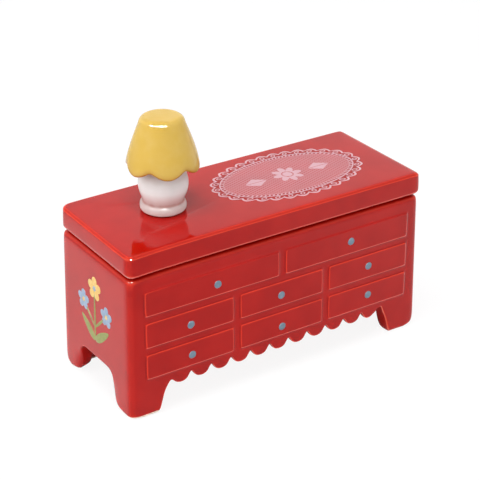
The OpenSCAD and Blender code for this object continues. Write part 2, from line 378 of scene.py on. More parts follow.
def finish_piece(name, bm, finishes, body, nodes, subdivisions=0):
    """Writes the bmesh as a smooth object in metres that rides on a body and stands for CAD nodes."""
    bmesh.ops.recalc_face_normals(bm, faces=bm.faces)
    for face in bm.faces:
        face.smooth = True
    mesh = bpy.data.meshes.new(name)
    bm.to_mesh(mesh)
    piece = add_object(name, mesh)
    if subdivisions:
        soften_skin(bm, piece, subdivisions)
    store_thin_glaze(bm)
    bmesh.ops.scale(bm, vec=(MM, MM, MM), verts=bm.verts)
    bm.to_mesh(mesh)
    bm.free()
    for finish in finishes:
        mesh.materials.append(finish)
    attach(piece, body)
    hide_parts(*nodes)
    print(f"{name}: {len(mesh.polygons)} faces after {subdivisions} subdivisions")
    return piece


print("finish_piece ready")

# %% [markdown]
# Walls, slabs and dabs of paint are all made from rings of points. A ring is extruded, and each
# point of the new ring is moved to its place. A row of such rings with a face over each end is a
# loft. Rings could also be made apart and bridged, but an extruded ring keeps its points in step.

# %% Rings and lofts
def loop_edges(verts):
    """The edges that join a ring of points to each other, each once and in a fixed order."""
    ring = set(verts)
    return list(dict.fromkeys(edge for vert in verts for edge in vert.link_edges
                              if edge.other_vert(vert) in ring))


def add_ring(bm, points):
    """A closed ring of edges through the given points."""
    verts = bmesh.ops.create_circle(bm, cap_ends=False, radius=1, segments=len(points))["verts"]
    for vert, point in zip(verts, points):
        vert.co = point
    return verts


def grow_ring(bm, ring, points):
    """Extrudes a ring of edges and moves the new ring, point for point, to the given places."""
    number_of = {vert: number for number, vert in enumerate(ring)}
    grown = bmesh.ops.extrude_edge_only(bm, edges=loop_edges(ring))["geom"]
    new_ring = list(ring)
    for vert in (part for part in grown if isinstance(part, bmesh.types.BMVert)):
        neighbours = [edge.other_vert(vert) for edge in vert.link_edges]
        start = next(neighbour for neighbour in neighbours if neighbour in number_of)
        new_ring[number_of[start]] = vert
    for vert, point in zip(new_ring, points):
        vert.co = point
    return new_ring


def add_loft(bm, sections):
    """A closed skin over a row of rings with equal counts, with a flat face over each end."""
    ring = add_ring(bm, sections[0])
    bmesh.ops.edgeloop_fill(bm, edges=loop_edges(ring))
    for points in sections[1:]:
        ring = grow_ring(bm, ring, points)
    bmesh.ops.edgeloop_fill(bm, edges=loop_edges(ring))


def quarter_turn(steps, start=0):
    """Angles of a quarter circle in equal steps, from a start in degrees."""
    return [math.radians(start + 90 * step / steps) for step in range(steps + 1)]


print("rings and lofts ready")

# %% [markdown]
# The box is one casting: four walls, a floor, four feet, a scalloped apron along the front and an
# arch in each end. One way is to cut a block with booleans, but the cuts leave hard, broken edges
# that no glaze has. Here the wall is a low ring of columns instead. It is extruded up row by row,
# the feet are extruded down from its corners, the drawer fronts are inset and raised, the rims are
# bevelled, and a subdivision surface then makes everything as soft as fired clay.

# %% Sizes of the box
_, body_high = box_mm("box_body")
rim_drop = 0.4
rim_z = body_high.z - rim_drop
foot_half_x = body_high.x
foot_half_y = body_high.y
flare_x = 1.0
flare_y = 0.6
corner_r = 2.7
corner_x = foot_half_x - corner_r
corner_y = foot_half_y - corner_r
rim_round = 1.8
foot_round = 1.6
lean_height = rim_z - rim_round - foot_round
wall = 5.0
well_half_x = foot_half_x - flare_x - wall
well_half_y = foot_half_y - flare_y - wall
well_r = 3.0
floor_low = 16.5
floor_high = 21.0
print("box", round(2 * foot_half_x, 1), "by", round(2 * foot_half_y, 1), "by", round(rim_z, 1), "mm")

# %% [markdown]
# The eight drawer fronts stand in three rows, two above and three in each of the others. One
# function gives their places to the wall, to the relief and to the painted knobs.

# %% Places of the drawer fronts
drawers_half = 59.2
drawers_top = 52.0
drawer_h = 10.6
row_gap = 2.2
column_gap = 2.4
row_counts = (2, 3, 3)
drawer_relief = 0.5


def drawer_fronts():
    """Left, right, bottom and top of each drawer front, row by row from the top."""
    fronts = []
    for row, count in enumerate(row_counts):
        top = drawers_top - row * (drawer_h + row_gap)
        width = (2 * drawers_half - (count - 1) * column_gap) / count
        for column in range(count):
            left = -drawers_half + column * (width + column_gap)
            fronts.append((left, left + width, top - drawer_h, top))
    return fronts


drawers_low = min(front[2] for front in drawer_fronts())
print(len(drawer_fronts()), "drawer fronts")

# %% [markdown]
# The wall stands on columns of points, close together where the outline turns: six to each scallop,
# and a few round each arch. A subdivision surface cuts corners unless a second line of points
# stands close by, so each side of a drawer front has a support line just inside it. Low down the
# columns follow the scallops. Above the apron the nearest ones move over to the lines of the
# drawers.

# %% The scalloped apron
apron_left = -50.2
apron_right = 49.0
apron_z = 13.0
foot_start = 10.6
foot_steps = (0.0, 1.5, 5.0)
scallop_count = 11
scallop_left = -48.6
scallop_pitch = 8.7
last_scallop = 6.8
scallop_drop = 2.9
notch_rise = 1.3
notch_sink = 1.4
notch_crown = 0.9
notch_shares = (0.4, 0.8)
last_left = scallop_left + (scallop_count - 1) * scallop_pitch
scallop_right = last_left + last_scallop
scallop_r = ((scallop_pitch / 2) ** 2 + scallop_drop ** 2) / (2 * scallop_drop)
steps_per_scallop = 6
edge_support = 0.9


def apron_places():
    """Places along the lower edge of the front where a column starts, from left to right."""
    steps = range((scallop_count - 1) * steps_per_scallop)
    scallops = [scallop_left + scallop_pitch / steps_per_scallop * step for step in steps]
    scallops += [last_left + last_scallop / steps_per_scallop * step
                 for step in range(steps_per_scallop + 1)]
    notch = [scallop_right + (apron_right - scallop_right) * share for share in notch_shares]
    drawer_side = [drawers_half - edge_support, drawers_half, drawers_half + edge_support]
    left_foot = [-x for x in reversed(drawer_side)] + [apron_left - x for x in reversed(foot_steps)]
    right_foot = [apron_right + x for x in foot_steps] + drawer_side
    return left_foot + scallops + notch + right_foot


def on_foot(x):
    """True for a place along the front or back that belongs to a foot."""
    return x < apron_left + NEAR or x > apron_right - NEAR


def apron_height(x):
    """Height of the scalloped edge of the apron at a place along the front."""
    if on_foot(x):
        return foot_start
    if x > scallop_right + NEAR:
        return apron_z + notch_crown * (x - scallop_right) / (apron_right - scallop_right)
    if x > scallop_right - NEAR:
        return apron_z - notch_sink
    if x < scallop_left + NEAR:
        return apron_z
    is_last = x > last_left + NEAR
    start, width = (last_left, last_scallop) if is_last else (scallop_left, scallop_pitch)
    from_middle = abs((x - start) % width - width / 2) * scallop_pitch / width
    arc = apron_z + scallop_r - scallop_drop - math.sqrt(scallop_r ** 2 - from_middle ** 2)
    return arc + (notch_rise if from_middle > scallop_pitch / 2 - NEAR else 0.0)


print(scallop_count, "scallops,", len(apron_places()), "columns along the front")

# %% [markdown]
# Each column has a place low down, a place above the apron, a place on the inner face, the way the
# outer face leans in towards the rim, and the height of its lower edge.

# %% One column of the wall
class Column:
    """One upright line of points in the wall, on the outer and the inner face."""

    def __init__(self, low, outer, inner, lean, bottom, is_foot):
        self.low = Vector(low)
        self.outer = Vector(outer)
        self.inner = Vector(inner)
        self.lean = Vector(lean)
        self.bottom = bottom
        self.is_foot = is_foot


def with_support(low, high):
    """The two edges of a drawer front along one direction, each with its support line inside it."""
    return {round(place, 3) for place in (low, low + edge_support, high - edge_support, high)}


def moved_to_drawers(places):
    """The same columns higher up, with the nearest ones moved to the lines of the drawer fronts."""
    fronts = drawer_fronts()
    lines = sorted(set().union(*(with_support(left, right) for left, right, _, _ in fronts)))
    moved = list(places)
    fixed = [0]
    for line in lines:
        nearest = min(range(fixed[-1] + 1, len(places)), key=lambda i: abs(places[i] - line))
        moved[nearest] = line
        fixed.append(nearest)
    fixed.append(len(places) - 1)
    for first, last in zip(fixed, fixed[1:]):
        for i in range(first + 1, last):
            moved[i] = moved[first] + (moved[last] - moved[first]) * (i - first) / (last - first)
    return moved


def closed_up(place, keep, outer_end, inner_end):
    """Where a column stands on the inner wall: as outside, but closed up near a corner."""
    if abs(place) <= keep:
        return place
    share = (abs(place) - keep) / (outer_end - keep)
    return math.copysign(keep + share * (inner_end - keep), place)


print("support lines stand", edge_support, "mm inside the drawer edges")

# %% [markdown]
# Four sides and four corners are walked round once. The back is plain, so it has few columns. The
# arch of an end is a flat top with a quarter circle down to each foot.

# %% The walk round the box
corner_steps = 3
back_spacing = 9
arch_half = 12.3
arch_z = 14.7
arch_r = 3.6
arch_steps = 3
arch_foot_steps = (1.5, 3.5, 7.0)


def long_side(sign):
    """Columns along the front (sign -1, left to right) or the back (sign 1, right to left)."""
    places = apron_places()
    if sign > 0:
        places = [x for i, x in enumerate(places) if i % back_spacing == 0 or on_foot(x)]
    uppers = moved_to_drawers(places) if sign < 0 else places
    side = []
    for low, upper in zip(places, uppers):
        inner_x = closed_up(low, apron_right, corner_x, well_half_x - well_r)
        bottom = apron_height(low) if sign < 0 else apron_z
        side.append(Column((low, sign * foot_half_y), (upper, sign * foot_half_y),
                           (inner_x, sign * well_half_y), (0, -sign * flare_y), bottom, on_foot(low)))
    return side if sign < 0 else side[::-1]


def arch_columns():
    """Places across an end with the height of the arch there, from its middle out to the corner."""
    flat = arch_half - arch_r
    places = [(0.0, arch_z), (flat / 2, arch_z)]
    for angle in quarter_turn(arch_steps):
        places.append((flat + arch_r * math.sin(angle), arch_z - arch_r * (1 - math.cos(angle))))
    return places + [(arch_half + along, arch_z - arch_r) for along in arch_foot_steps]


def short_side(sign):
    """Columns up the right end (sign 1, front to back) or the left end (sign -1, back to front)."""
    half = arch_columns()
    side = []
    for y, bottom in [(-y, z) for y, z in half[:0:-1]] + half:
        inner_y = closed_up(y, arch_half, corner_y, well_half_y - well_r)
        outer = (sign * foot_half_x, y)
        side.append(Column(outer, outer, (sign * well_half_x, inner_y), (-sign * flare_x, 0), bottom,
                           abs(y) >= arch_half - NEAR))
    return side if sign > 0 else side[::-1]


def corner(sign_x, sign_y, start_angle):
    """Columns round one upright corner, from one side to the next."""
    lean = (-sign_x * flare_x, -sign_y * flare_y)
    outer_middle = Vector((sign_x * corner_x, sign_y * corner_y))
    inner_middle = Vector((sign_x * (well_half_x - well_r), sign_y * (well_half_y - well_r)))
    turn = []
    for angle in quarter_turn(corner_steps, start_angle):
        way = Vector((math.cos(angle), math.sin(angle)))
        outer = outer_middle + corner_r * way
        turn.append(Column(outer, outer, inner_middle + well_r * way, lean, foot_start, True))
    return turn


columns = (long_side(-1) + corner(1, -1, -90) + short_side(1) + corner(1, 1, 0)
           + long_side(1) + corner(-1, 1, 90) + short_side(-1) + corner(-1, -1, 180))
print(len(columns), "columns round the wall")

# %% [markdown]
# Now the wall itself. A ring of faces joins the outer and inner lower edges and is extruded up, row
# by row. Each point remembers its column and its face of the wall, so that after every extrusion it
# can be put at its height. An extrusion leaves the faces that it started from inside the wall, so
# these are deleted, except for the lowest ring, which stays as the underside.

# %% The wall, row by row
OUTER, INNER = 0, 1
box_bm = bmesh.new()
column_of = box_bm.verts.layers.int.new("column")
side_of = box_bm.verts.layers.int.new("side")


def lean_share(height):
    """How much of its lean towards the rim the outer face has at a height."""
    return max(0.0, (height - foot_round) / lean_height)


def put(vert, height):
    """Moves a point of the wall to a height, leaning with the outer face."""
    column = columns[vert[column_of]]
    if vert[side_of] == INNER:
        plan = column.inner
    else:
        plan = column.outer if height > drawers_low - NEAR else column.low
        plan = plan + column.lean * lean_share(height)
    vert.co = (plan.x, plan.y, height)


def extruded(faces, keep_start=False):
    """Extrudes faces and gives back the new faces and the new points."""
    grown = bmesh.ops.extrude_face_region(box_bm, geom=faces)["geom"]
    if not keep_start:
        bmesh.ops.delete(box_bm, geom=faces, context="FACES")
    return ([part for part in grown if isinstance(part, bmesh.types.BMFace)],
            [part for part in grown if isinstance(part, bmesh.types.BMVert)])


outer_ring = add_ring(box_bm, [column.low.to_3d() for column in columns])
for number, vert in enumerate(outer_ring):
    vert[column_of] = number
    put(vert, columns[number].bottom)
inner_ring = grow_ring(box_bm, outer_ring, [column.inner.to_3d() for column in columns])
for vert in inner_ring:
    vert[side_of] = INNER
    put(vert, columns[vert[column_of]].bottom)
lower_faces = list(box_bm.faces)

drawer_rows = set().union(*(with_support(low, high) for _, _, low, high in drawer_fronts()))
wall_rows = sorted(drawer_rows) + [rim_z]
upper_faces = lower_faces
for row in wall_rows:
    upper_faces, new_verts = extruded(upper_faces, keep_start=upper_faces is lower_faces)
    for vert in new_verts:
        put(vert, row)
print("wall rows at", [round(row, 1) for row in wall_rows])

# %% [markdown]
# The feet grow down from the lower faces at the four corners. Their inner sides lean away from the
# apron and the arch. Low down every face turns in along a quarter circle, so each foot ends in a
# soft tongue, and on the ends the edge towards the arch is drawn in, because the mould there was
# well worn.

# %% The feet
foot_rows = (8.5, 5.2, 2.8, 1.2, 0.0)
ground_round = 2.6
far_ground_round = 4.8
foot_lean = 3.6
inner_lean = 3.3
side_turn_in = 0.6
front_turn_in = 1.0
end_turn_in = 1.7
corner_turn_in = 2.1
inner_turn_in = 2.8
arch_lean = 0.7
arch_foot_round = 4.5
arch_foot_turn = 3.0
rear_lean = 1.6
rear_turn = 1.5
rear_inner_turn = 3.0
front_swell = 0.9
shoulder_depth = 1.5
shoulder_width = 3.4
shoulder_start = 0.4


def turned_in(height, round_height):
    """How far a skin has turned in along a quarter circle: 0 at the round height, 1 at the ground."""
    share = max(0.0, 1 - height / round_height)
    return 1 - math.sqrt(1 - share ** 2)


def slide(place, near, moved, far):
    """Moves a place along a wall: near goes out by moved, far stays, and those between are spread."""
    share = (far - abs(place)) / (far - abs(near))
    return math.copysign(abs(place) + moved * share, place)


def put_foot(vert, height):
    """Moves a point of a foot to its height, with the lean, the worn edge and the rounded end."""
    put(vert, height)
    column = columns[vert[column_of]]
    is_outer = vert[side_of] == OUTER
    thickness = (column.inner - column.low).normalized().to_3d()
    x, y = column.low
    turn_in = corner_turn_in if is_outer else -inner_turn_in
    round_height = ground_round if y < 0 and x < 0 else far_ground_round
    if abs(y) > foot_half_y - NEAR and abs(x) < corner_x - NEAR:
        turn_in = front_turn_in if is_outer else -front_turn_in
        low_share = 1 - height / apron_z
        moved = foot_lean * low_share if is_outer else inner_lean * low_share ** 2
        moved += side_turn_in * turned_in(height, ground_round)
        round_height = ground_round
        vert.co.x = slide(vert.co.x, apron_left if x < 0 else apron_right, moved, corner_x)
    elif abs(x) > foot_half_x - NEAR and abs(y) < corner_y - NEAR:
        turn_in = end_turn_in if is_outer else -inner_turn_in
        round_height = ground_round if x < 0 else far_ground_round
        low_share = 1 - height / (arch_z - arch_r)
        moved = arch_lean * low_share ** 2 + arch_foot_turn * turned_in(height, arch_foot_round)
        if y > 0:
            moved = rear_lean * moved + (rear_turn if is_outer else rear_inner_turn) * low_share
        else:
            moved -= front_swell * math.sin(math.pi * low_share)
        vert.co.y = slide(vert.co.y, arch_half, moved, corner_y)
        if is_outer:
            from_edge = abs(vert.co.y) - arch_half - moved
            worn = max(0.0, 1 - from_edge / shoulder_width) ** 2
            vert.co += thickness * shoulder_depth * worn * min(1.0, low_share / shoulder_start)
    vert.co += thickness * turned_in(height, round_height) * turn_in


starts = set(lower_faces)
foot_faces = [face for face in box_bm.faces
              if face in starts and all(columns[v[column_of]].is_foot for v in face.verts)]
for row in foot_rows:
    foot_faces, new_verts = extruded(foot_faces)
    for vert in new_verts:
        put_foot(vert, row)
bmesh.ops.recalc_face_normals(box_bm, faces=box_bm.faces)
print("feet in", len(foot_rows), "rows down to", foot_rows[-1], "mm")

# %% [markdown]
# A mock drawer is a patch of the front wall, inset once with a rise for its sloping side, and once
# more for the fine top edge that catches the light. The inner face of the wall is plain, so its
# level lines are dissolved again, to save points.

# %% The drawer fronts
drawer_slope = 0.32
drawer_edge = 0.42
drawer_crown = 0.1
lower_pull = 0.35
upper_pull = 0.14
ring_spread = 0.05
least_inset = 0.1
in_front_wall = -well_half_y - wall / 2
facing_front = -0.9


def soften_corners(left, right, bottom, top):
    """Pulls the corners of a raised front inwards, so that they come out round."""
    middle_x, middle_z = (left + right) / 2, (bottom + top) / 2
    for vert in box_bm.verts:
        if vert.co.y > in_front_wall:
            continue
        from_side = (right - left) / 2 - abs(vert.co.x - middle_x)
        from_top = (top - bottom) / 2 - abs(vert.co.z - middle_z)
        on_corner = abs(from_side - from_top) < ring_spread
        if on_corner and least_inset < from_side < drawer_slope + drawer_edge + ring_spread:
            pull = lower_pull if from_side < drawer_slope + ring_spread else upper_pull
            vert.co.x += math.copysign(pull, middle_x - vert.co.x)
            vert.co.z += math.copysign(pull, middle_z - vert.co.z)


for left, right, bottom, top in drawer_fronts():
    patch = []
    for face in box_bm.faces:
        middle = face.calc_center_median()
        if face.normal.y < facing_front and middle.y < in_front_wall:
            if left < middle.x < right and bottom < middle.z < top:
                patch.append(face)
    for inset, rise in ((drawer_slope, drawer_relief - drawer_crown), (drawer_edge, drawer_crown)):
        bmesh.ops.inset_region(box_bm, faces=patch, thickness=inset, depth=rise,
                               use_even_offset=True, use_boundary=True)
    soften_corners(left, right, bottom, top)
print("raised", len(drawer_fronts()), "drawer fronts by", drawer_relief, "mm")


def is_level_inside(edge):
    """True for a level edge on the inner face of the wall, between the drawers' foot and the rim."""
    first, second = edge.verts
    heights = (first.co.z, second.co.z)
    return (first[side_of] == second[side_of] == INNER and drawers_low - NEAR < min(heights)
            and max(heights) < rim_z - NEAR and abs(heights[0] - heights[1]) < 0.1 * NEAR)


level_inside = [edge for edge in box_bm.edges if is_level_inside(edge)]
bmesh.ops.dissolve_edges(box_bm, edges=level_inside, use_verts=True)
print("dissolved", len(level_inside), "level lines inside")

# %% [markdown]
# Bevels round the rim and the lower edges. An edge is bevelled if it runs along the wall, on one
# face of it, and the two faces beside it turn sharply.

# %% Soft rims
lip_round = 0.5
arch_round = 1.7
inner_rim_round = 0.9
sharp_turn = math.radians(40)
above_ground = 0.1


def sharp_edges(side, low, high):
    """Sharp edges that stay on the outer or the inner face of the wall, between two heights."""
    return [edge for edge in box_bm.edges
            if all(v[side_of] == side and low < v.co.z < high for v in edge.verts)
            and len(edge.link_faces) == 2 and edge.calc_face_angle(0.0) > sharp_turn]


def soften(edges, radius, segments, clamped=True):
    bmesh.ops.bevel(box_bm, geom=edges, offset=radius, offset_type="OFFSET", affect="EDGES",
                    segments=segments, profile=0.5, material=-1, clamp_overlap=clamped)
    print("rounded", len(edges), "edges by", radius, "mm")


lower_edges = [edge for edge in sharp_edges(OUTER, -1, apron_z + 2 * notch_rise)
               if max(v.co.z for v in edge.verts) > above_ground]
arch_edges = [edge for edge in lower_edges if abs(edge.verts[0].co.y) < corner_y]
lip_edges = [edge for edge in lower_edges if edge not in arch_edges]
soften(arch_edges, arch_round, 3)
soften([edge for edge in lip_edges if edge.is_valid], lip_round, 2, clamped=False)
soften(sharp_edges(OUTER, rim_z - NEAR, rim_z + NEAR), rim_round, 2)
soften(sharp_edges(INNER, rim_z - NEAR, rim_z + NEAR), inner_rim_round, 1)

# %% [markdown]
# Fired clay sags a little: the front left corner of the rim is lower, and the lid follows it. The
# floor of the trinket space is a plate let into the walls, with a cove where it turns up. It is a
# loft of rounded rectangles, with equal counts of points.

# %% The floor
side_shares = (0.02, 0.08, 0.3, 0.5, 0.7, 0.92, 0.98)
least_well_r = 0.6
sag_depth = 0.6
sag_x = -45
sag_run = 20
sag_front = 0.65
sag_change = 0.35
sag_low_z = 44
floor_lap = 0.4
floor_inset = 9.0


def rounded_plan(half_x, half_y, radius, height, rear_left=1.0):
    """Points of a rounded rectangle, some along each side, and one corner that may be rounder."""
    points = []
    signs = ((1, -1), (1, 1), (-1, 1), (-1, -1))
    radii = (radius, radius, radius * rear_left, radius)
    middles = [Vector((sign_x * (half_x - r), sign_y * (half_y - r), height))
               for (sign_x, sign_y), r in zip(signs, radii)]
    for turn, middle in enumerate(middles):
        for angle in quarter_turn(corner_steps, 90 * turn - 90):
            points.append(middle + radii[turn] * Vector((math.cos(angle), math.sin(angle), 0)))
        following = (turn + 1) % len(middles)
        side_angle = math.radians(90 * turn)
        way = Vector((math.cos(side_angle), math.sin(side_angle), 0))
        start, after = points[-1], middles[following] + radii[following] * way
        points += [start.lerp(after, share) for share in side_shares]
    return points


def well_plan(inset, height):
    """The outline of the trinket space drawn in by so much."""
    radius = max(least_well_r, well_r - 0.5 * inset)
    return rounded_plan(well_half_x - inset, well_half_y - inset, radius, height)


def sag(place):
    """How far the front left corner sank in the kiln, at a place near the rim."""
    along = min(1.0, max(0.0, (sag_x - place.x) / sag_run))
    soft = along * along * (3 - 2 * along)
    return sag_depth * soft * (sag_front - sag_change * place.y / foot_half_y)


for vert in box_bm.verts:
    vert.co.z -= sag(vert.co) * max(0.0, (vert.co.z - sag_low_z) / (rim_z - sag_low_z))

cove = ((-floor_lap, 4.0), (0.1, 1.8), (1.2, 0.4), (3.4, 0.0), (floor_inset, 0.0))
floor_sections = [well_plan(floor_inset, floor_low), well_plan(-floor_lap, floor_low)]
floor_sections += [well_plan(inset, floor_high + rise) for inset, rise in cove]
add_loft(box_bm, floor_sections)
finish_piece("glazed_box", box_bm, [red_glaze], "box", ["box_body"], subdivisions=2)

# %% [markdown]
# The lid is a thick slab with rounded edges. Underneath, a flange drops into the trinket space and
# keeps the lid from sliding off, and the slab is hollow to keep the casting light. It is one loft
# from the middle of the top, over the edge, in under the rim, down and up the flange to the hollow.

# %% The lid
lid_low, lid_high = box_mm("lid")
lid_half_x = lid_high.x
lid_half_y = lid_high.y
lid_top = lid_high.z
seat_clear = 0.05
seam_gap = 0.7
lid_seat = rim_z + seat_clear
lid_under = lid_seat + seam_gap
lid_corner_r = 2.7
least_lid_r = 1.2
rear_left_rounder = 1.5
lid_top_round = 1.1
lid_under_round = 1.6
lid_draft = 0.2
seat_inset = 3.2
seat_soft = 0.6
flange_out = 0.5
flange_t = 2.6
flange_in = flange_out + flange_t
flange_round = 0.7
hollow_z = rim_z + 4.5
round_steps = 4


def lid_plan(inset, height):
    """The outline of the lid drawn in by so much."""
    radius = max(least_lid_r, lid_corner_r - 0.6 * inset)
    return rounded_plan(lid_half_x - inset, lid_half_y - inset, radius, height, rear_left_rounder)


lid_sections = [lid_plan(inset, lid_top) for inset in (14, 6, lid_top_round + 1.0)]
for angle in quarter_turn(round_steps):
    lid_sections.append(lid_plan(lid_draft + lid_top_round * (1 - math.sin(angle)),
                                 lid_top - lid_top_round * (1 - math.cos(angle))))
for angle in quarter_turn(round_steps):
    lid_sections.append(lid_plan(lid_under_round * (1 - math.cos(angle)),
                                 lid_under + lid_under_round * (1 - math.sin(angle))))
lid_sections += [lid_plan(seat_inset - seat_soft, lid_under),
                 lid_plan(seat_inset, lid_seat + 0.5 * seam_gap),
                 lid_plan(seat_inset + 0.5, lid_seat)]
flange_rows = (
    (flange_out - seat_soft, lid_seat),
    (flange_out, lid_seat),
    (flange_out, lid_seat - seat_soft),
    (flange_out, lid_low.z + flange_round),
    (flange_out + 0.3 * flange_round, lid_low.z + 0.1),
    (flange_out + flange_round, lid_low.z),
    (flange_in - flange_round, lid_low.z),
    (flange_in - 0.3 * flange_round, lid_low.z + 0.1),
    (flange_in, lid_low.z + flange_round),
    (flange_in, hollow_z - 1.6),
    (flange_in + 0.4, hollow_z - 0.4),
    (flange_in + 1.8, hollow_z),
    (flange_in + 6, hollow_z),
)
lid_sections += [well_plan(inset, height) for inset, height in flange_rows]
lid_bm = bmesh.new()
lid_lip_reflection = lid_bm.verts.layers.float.new("lip_reflection")
add_loft(lid_bm, lid_sections)
print("lid of", len(lid_sections), "rings")

# %% [markdown]
# Then the lid's edges are eased by hand, as a potter does with a wet sponge: the ends and the front
# are rounder than the back, and the ends bulge a little. The lower lip of the left end is marked
# for a pale painted reflection of the table.

# %% The eased edges of the lid
lid_middle = (lid_top + lid_under) / 2
left_round = 1.7
right_round = 2.6
front_round = 1.8
back_round = 1.1
under_end_round = 0.6
left_bulge = 0.2
right_bulge = 0.5
bulge_reach = 4.0
lip_reflection_reach = 0.9
lip_reflection_low = 0.2
lip_reflection_high = 0.7
top_sag = 1.5


def eased(distance, radius):
    """How far the skin of a rounded edge lies below the flat, at a distance from the end."""
    inside = min(radius, max(0.0, radius - distance))
    return radius - math.sqrt(radius ** 2 - inside ** 2)


def from_outline(x, y):
    """How far inside the lid's outline a place is, and how much that outline faces an end there."""
    past_x = abs(x) - lid_half_x + lid_corner_r
    past_y = abs(y) - lid_half_y + lid_corner_r
    if past_x > 0 and past_y > 0:
        out = math.hypot(past_x, past_y)
        return lid_corner_r - out, (past_x / out) ** 2
    return lid_corner_r - max(past_x, past_y), 1.0 if past_x > past_y else 0.0


for vert in lid_bm.verts:
    x, y, z = vert.co
    inside, endward = from_outline(x, y)
    end_round, bulge = (right_round, right_bulge) if x > 0 else (left_round, left_bulge)
    side_round = front_round if y < 0 else back_round
    if z > lid_middle:
        vert.co.z = min(z, lid_top - eased(inside, side_round + (end_round - side_round) * endward))
    elif z > lid_under - NEAR and inside < seat_inset:
        vert.co.z = max(z, lid_under + eased(inside, lid_under_round + under_end_round * endward))
        # Marks the lower lip of the left end for a pale painted reflection of the table.
        at_left_end = x < lip_reflection_reach - lid_half_x
        vert[lid_lip_reflection] = float(at_left_end and lip_reflection_low < z - lid_under < lip_reflection_high)
    if z > lid_under - NEAR:
        swollen = max(0.0, 1 - inside / bulge_reach)
        swollen *= 1 - min(1.0, ((z - lid_middle) / bulge_reach) ** 2)
        vert.co.x += math.copysign(bulge, x) * endward * swollen
    vert.co.z -= sag(vert.co) * (1.0 if z < lid_middle else top_sag)
finish_piece("glazed_lid", lid_bm, [red_glaze], "lid", ["lid"], subdivisions=2)

# %% [markdown]
# The lamp base is thrown or cast round, so its outline is spun once about its axis: a fat foot
# ring, a waist, a barrel, and a neck that goes up into the shade. Noise along the ring gives it the
# slight wobble of a hand-finished piece. Heights are measured up from the lid.

# %% The lamp base
base_low, base_high = box_mm("lamp_base")
lamp_axis = Vector(((base_low.x + base_high.x) / 2, (base_low.y + base_high.y) / 2, lid_top))
lamp_turns = 64
ring_r = 8.75
ring_h = 3.9
ring_round = 1.6
waist_r = 7.6
waist_z = 4.4
barrel_r = 9.3
barrel_z = 10.8
barrel_curve_r = 11.5
barrel_heights = (5.6, 7.4, 9.2, 11.0, 12.8, 14.6, 16.2, 17.4)
neck_r = 6.0
neck_low = 18.4
neck_top = 25.0
neck_bevel = 0.6
# Darkening of the white glaze: painted shade on the ring, pooled glaze and painted shade at the
# waist, and a painted shadow under the hem.
ring_painted_shade, waist_pool_and_shade, hem_painted_shadow = 0.6, 0.85, 0.6
waist_reach = 4.6
hem_shade_z, hem_shade_h = 12.0, 4.0
wobbles = ((0.16, 0.25, Vector((0, 0, 0))), (0.45, 0.15, Vector((9, 4, 2))))


def add_lathed(bm, outline, turns):
    """Spins an outline of (radius, height) points about the lamp's axis."""
    verts = [bm.verts.new((radius, 0, height)) for radius, height in outline]
    edges = [bm.edges.new(pair) for pair in zip(verts, verts[1:])]
    bmesh.ops.spin(bm, geom=verts + edges, cent=(0, 0, 0), axis=(0, 0, 1), angle=2 * math.pi,
                   steps=turns, use_merge=True)
    bmesh.ops.remove_doubles(bm, verts=bm.verts, dist=1e-4)


def pooled_and_shaded_at(height):
    """Darkening of the white glaze: painted shade on the ring, pooling and painted shade at the
    waist, painted shadow under the hem.
    """
    if height < ring_h - 0.3:
        return ring_painted_shade
    waist_share = max(0.0, 1 - abs(height - waist_z) / waist_reach)
    hem_share = min(1.0, max(0.0, (height - hem_shade_z) / hem_shade_h))
    return waist_pool_and_shade * waist_share + hem_painted_shadow * hem_share


base_outline = [(0, 0), (4, 0), (ring_r - 1.5, 0)]
for degrees in (-55, -25, 5, 35, 62):
    angle = math.radians(degrees)
    base_outline.append((ring_r - ring_round + ring_round * math.cos(angle),
                         ring_h / 2 * (1 + math.sin(angle))))
base_outline.append((waist_r, waist_z))
for height in barrel_heights:
    drop = barrel_curve_r - math.sqrt(barrel_curve_r ** 2 - (height - barrel_z) ** 2)
    base_outline.append((barrel_r - drop, height))
base_outline += [(neck_r, neck_low), (neck_r, 20), (neck_r, neck_top - neck_bevel),
                 (neck_r - neck_bevel, neck_top), (0, neck_top)]

base_bm = bmesh.new()
base_pooled_and_shaded = base_bm.verts.layers.float.new("pooled_and_shaded_glaze")
add_lathed(base_bm, base_outline, lamp_turns)
for vert in base_bm.verts:
    vert[base_pooled_and_shaded] = pooled_and_shaded_at(vert.co.z)
    flat = Vector((vert.co.x, vert.co.y, 0))
    if NEAR < vert.co.z < barrel_heights[-1] + NEAR and flat.length > 1:
        wobble = sum(noise.noise(vert.co * scale + shift) * much for scale, much, shift in wobbles)
        vert.co += flat.normalized() * wobble
bmesh.ops.translate(base_bm, vec=lamp_axis, verts=base_bm.verts)
finish_piece("glazed_lamp_base", base_bm, [white_glaze], "lid", ["lamp_base"],
             subdivisions=1)

# %% [markdown]
# The shade is a bell with six soft flutes that run out in six lobes at the hem. Its outline is spun
# round first, and then each point is drawn in towards the axis in the flutes and the hem is lifted
# between the lobes. The hem is thick, as cast clay has to be, and the inside is hollow up to the
# neck.

# %% The lamp shade
shade_lobes = 6
shade_turn = math.radians(9)
shade_turns = 96
hem_r = 13.7
hem_z = 17.5
hem_t = 2.4
hem_wave = 2.4
flute_depth = 0.6
lobe_sharpness = 0.12
crown_r = 8.5
crown_round = 2.6
shade_top = 36.6
shoulder_z = shade_top - crown_round
side_steps = 10
side_curve = 1.25
shade_ceiling = 20.4
socket_clear = 0.15
socket_rise = 0.2
socket_top = neck_top + socket_rise
hem_side = 0.2


def lobe(angle):
    """1 at the middle of a lobe of the hem and 0 in the crease between two lobes."""
    swing = math.cos(shade_lobes / 2 * (angle - shade_turn))
    top = math.sqrt(1 + lobe_sharpness ** 2) - lobe_sharpness
    return (math.sqrt(swing ** 2 + lobe_sharpness ** 2) - lobe_sharpness) / top


